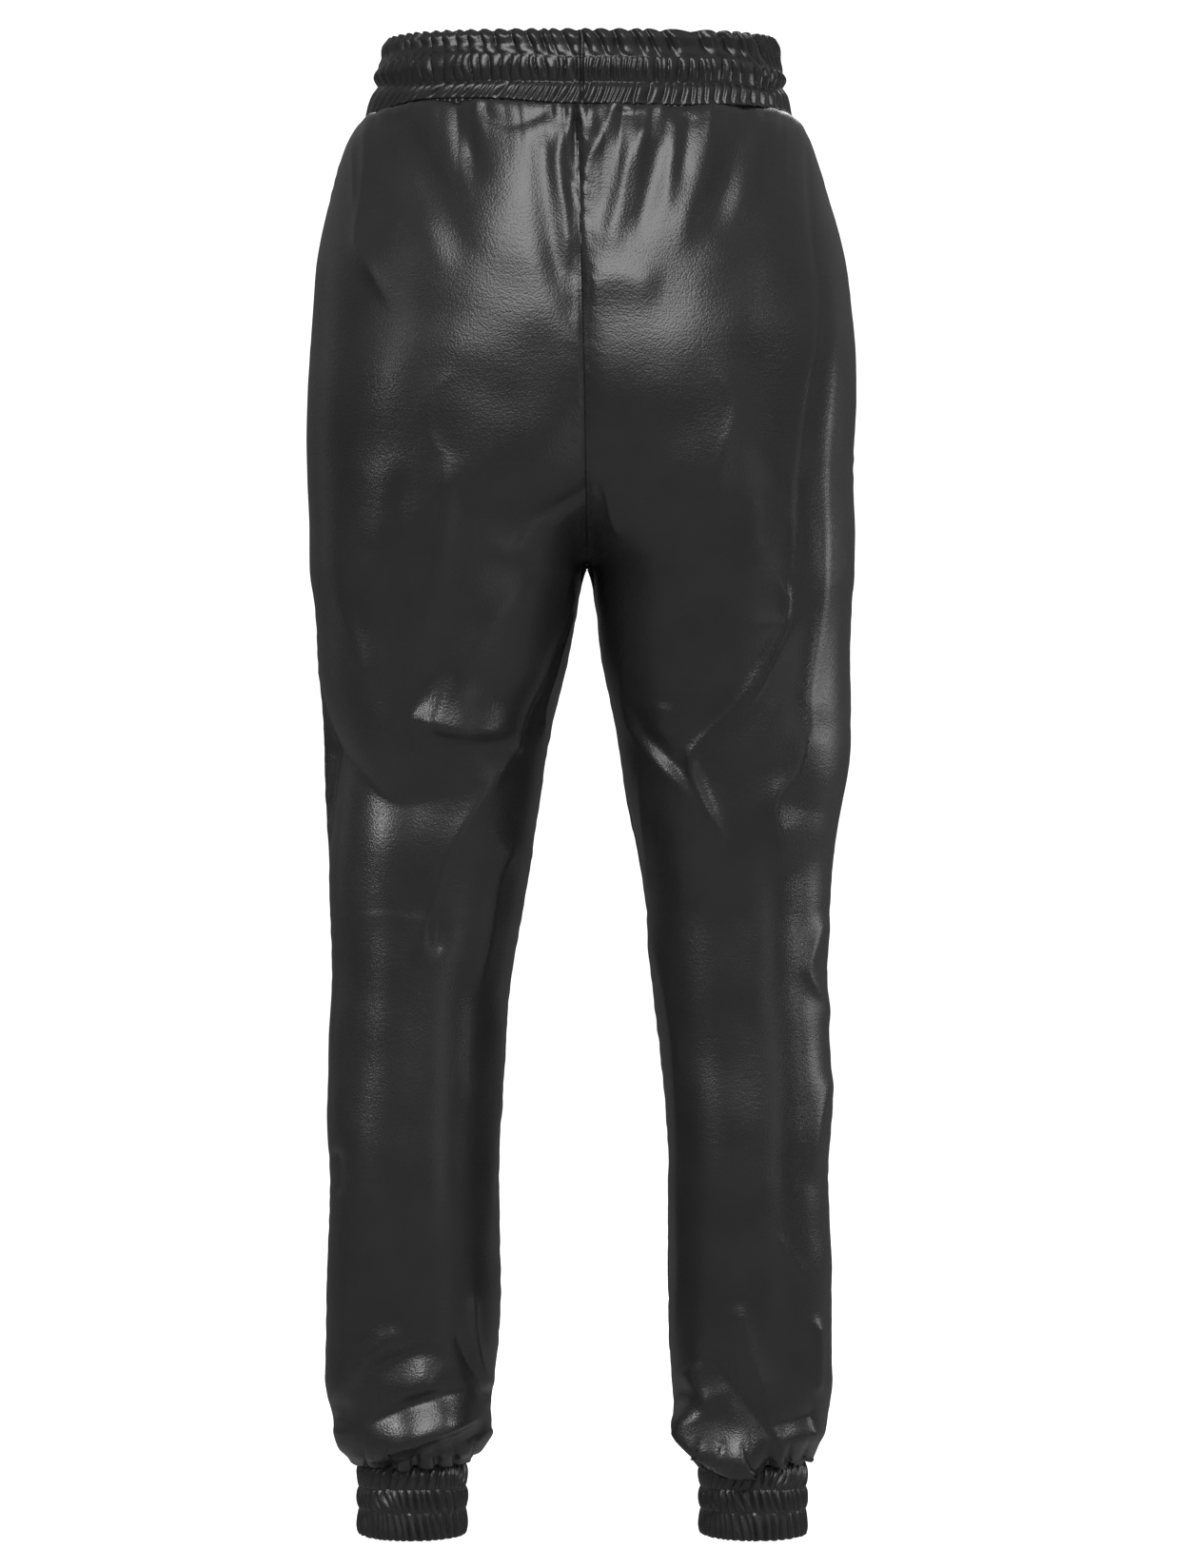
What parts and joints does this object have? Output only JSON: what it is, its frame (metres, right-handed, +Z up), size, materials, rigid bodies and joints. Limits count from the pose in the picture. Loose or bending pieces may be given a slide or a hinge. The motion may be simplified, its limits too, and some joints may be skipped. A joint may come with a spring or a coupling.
{
  "type": "jogger sweatpants in imitation leather",
  "caption": "Hollow jogger trousers with a shirred elastic waist, slanted side pockets, tapered legs bloused over shirred cuffs.",
  "frame": {"origin": "centre of the waistband at half its height, on the body's axis", "axes": "+Z up, +Y the wearer's front, +X the wearer's right; the garment is seen from behind when looking along +Y"},
  "size_m": [0.362, 0.2413, 0.9836],
  "materials": {
    "leather": "black imitation leather with a fine pebbled grain and a soft satin gloss",
    "shirring": "the same black imitation leather gathered over elastic in stitched tiers"
  },
  "bodies": {
    "root": {"back_left": "leather", "back_right": "leather", "front_left": "leather", "front_right": "leather", "pocket_left": "leather", "pocket_right": "leather", "waistband": "shirring", "cuff_left": "shirring", "cuff_right": "shirring"}
  },
  "joints": []
}
